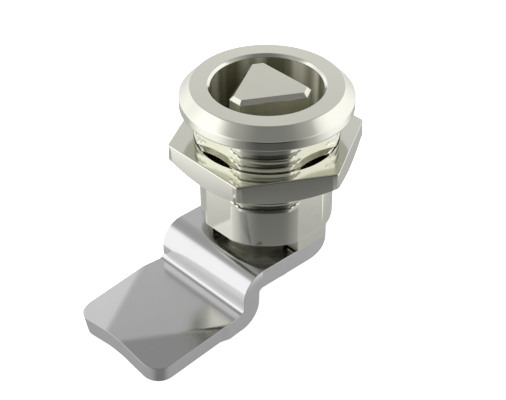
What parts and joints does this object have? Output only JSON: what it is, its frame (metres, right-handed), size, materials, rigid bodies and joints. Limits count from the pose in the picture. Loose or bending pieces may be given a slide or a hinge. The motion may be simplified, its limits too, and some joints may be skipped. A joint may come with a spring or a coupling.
{
  "type": "quarter-turn lock",
  "caption": "Quarter-turn panel lock with a triangular key insert, a grooved four-flat body, a clamping nut and a cranked cam.",
  "frame": {"origin": "on the lock's turning axis, level with the underside of the head, where the head rests on the panel", "axes": "+Z along the turning axis, out of the panel towards the key; -Y towards the cam's tip in the closed position"},
  "size_m": [0.0312, 0.0454, 0.0358],
  "materials": {
    "housing_plate": "nickel-plated zinc die-casting, polished",
    "insert_plate": "nickel-plated zinc die-casting, satin",
    "nut_plate": "nickel-plated, polished",
    "cam_steel": "zinc-plated pressed steel, smooth",
    "fastener_zinc": "zinc-plated steel",
    "seal_rubber": "black rubber"
  },
  "bodies": {
    "fixed_housing": {"housing": "housing_plate"},
    "key_and_cam": {"key_insert": "insert_plate", "shaft_seal": "seal_rubber", "stop_disc": "insert_plate", "cam": "cam_steel", "cam_washer": "fastener_zinc", "cam_bolt": "fastener_zinc"},
    "clamp_nut": {"mounting_nut": "nut_plate"}
  },
  "joints": [
    {"name": "key_turn", "type": "hinge", "parent": "fixed_housing", "child": "key_and_cam", "pos_m": [0, 0, 0], "axis": [0, 0, 1], "range_deg": [0, 90]},
    {"name": "nut_turn", "type": "hinge", "parent": "fixed_housing", "child": "clamp_nut", "pos_m": [0, 0, 0], "axis": [0, 0, 1], "continuous": true}
  ]
}
